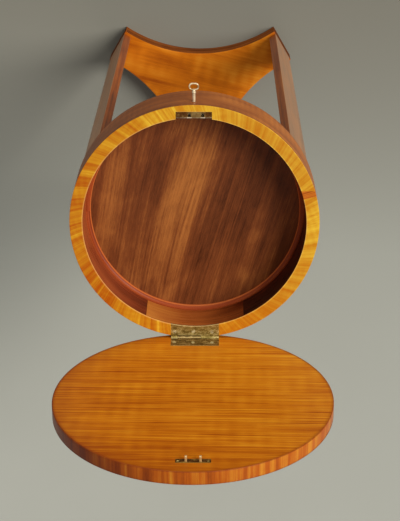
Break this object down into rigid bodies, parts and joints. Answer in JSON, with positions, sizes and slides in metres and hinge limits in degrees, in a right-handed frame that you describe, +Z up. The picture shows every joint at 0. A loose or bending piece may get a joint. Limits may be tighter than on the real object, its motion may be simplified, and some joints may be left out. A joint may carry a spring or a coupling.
{
  "type": "round lidded work table",
  "caption": "Round wooden work table: a shallow lidded drum on plank legs and a concave-sided plinth, the lid hinged at the back and locked at the front.",
  "frame": {"origin": "on the floor, at the centre of the plinth's underside, on the axis of the drum", "axes": "+X across the front, to the right for a person facing the lock and looking along +Y; +Y from the lock at the front to the hinge at the back; +Z up"},
  "size_m": [0.3899, 0.4103, 1.0913],
  "materials": {
    "mahogany": "old polish over straight grain",
    "satinwood": "old varnish, golden",
    "core_wood": "unfinished softwood under veneer",
    "brass": "tarnished",
    "steel": "dull",
    "key_brass": "worn bright"
  },
  "bodies": {
    "stand": {"drum_wall": "mahogany", "drum_side_veneer": "mahogany", "drum_lining": "mahogany", "drum_bottom_board": "mahogany", "floor_bead": "mahogany", "hinge_backing_block": "mahogany", "rim_banding": "satinwood", "rim_banding_patch": "satinwood", "leg_back": "mahogany", "leg_left": "mahogany", "leg_right": "mahogany", "plinth_core": "core_wood", "plinth_top_veneer": "satinwood", "plinth_edging_front": "mahogany", "plinth_edging_left": "mahogany", "plinth_edging_right": "mahogany", "plinth_corner_edgings": "mahogany", "hinge_leaf_drum": "brass", "hinge_pin": "steel", "hinge_screws_drum": "brass", "lock_case": "brass", "lock_cap": "brass", "lock_drill_pin": "steel", "lock_cap_screws": "brass", "lock_screws": "brass"},
    "lid": {"lid_core": "core_wood", "lid_inner_veneer": "satinwood", "lid_top_veneer": "satinwood", "lid_edge_banding": "mahogany", "hinge_leaf_lid": "brass", "hinge_screws_lid": "brass", "link_plate": "brass", "link_staples": "brass", "link_screws": "brass"},
    "key": {"key": "key_brass"},
    "bolt": {"lock_bolt": "brass", "lock_bolt_spring": "steel"}
  },
  "joints": [
    {"name": "lid_hinge", "type": "hinge", "parent": "stand", "child": "lid", "pos_m": [0, 0.1821, 0.7142], "axis": [1, 0, 0], "range_deg": [0, 90]},
    {"name": "key_turn", "type": "hinge", "parent": "stand", "child": "key", "pos_m": [0, -0.18, 0.695], "axis": [0, -1, 0], "range_deg": [0, 180]},
    {"name": "bolt_slide", "type": "slide", "parent": "stand", "child": "bolt", "axis": [-1, 0, 0], "range_m": [0, 0.005]}
  ],
  "couplings": [
    {"joint": "key_turn", "follows": "bolt_slide", "rad_per_m": 628.3}
  ]
}
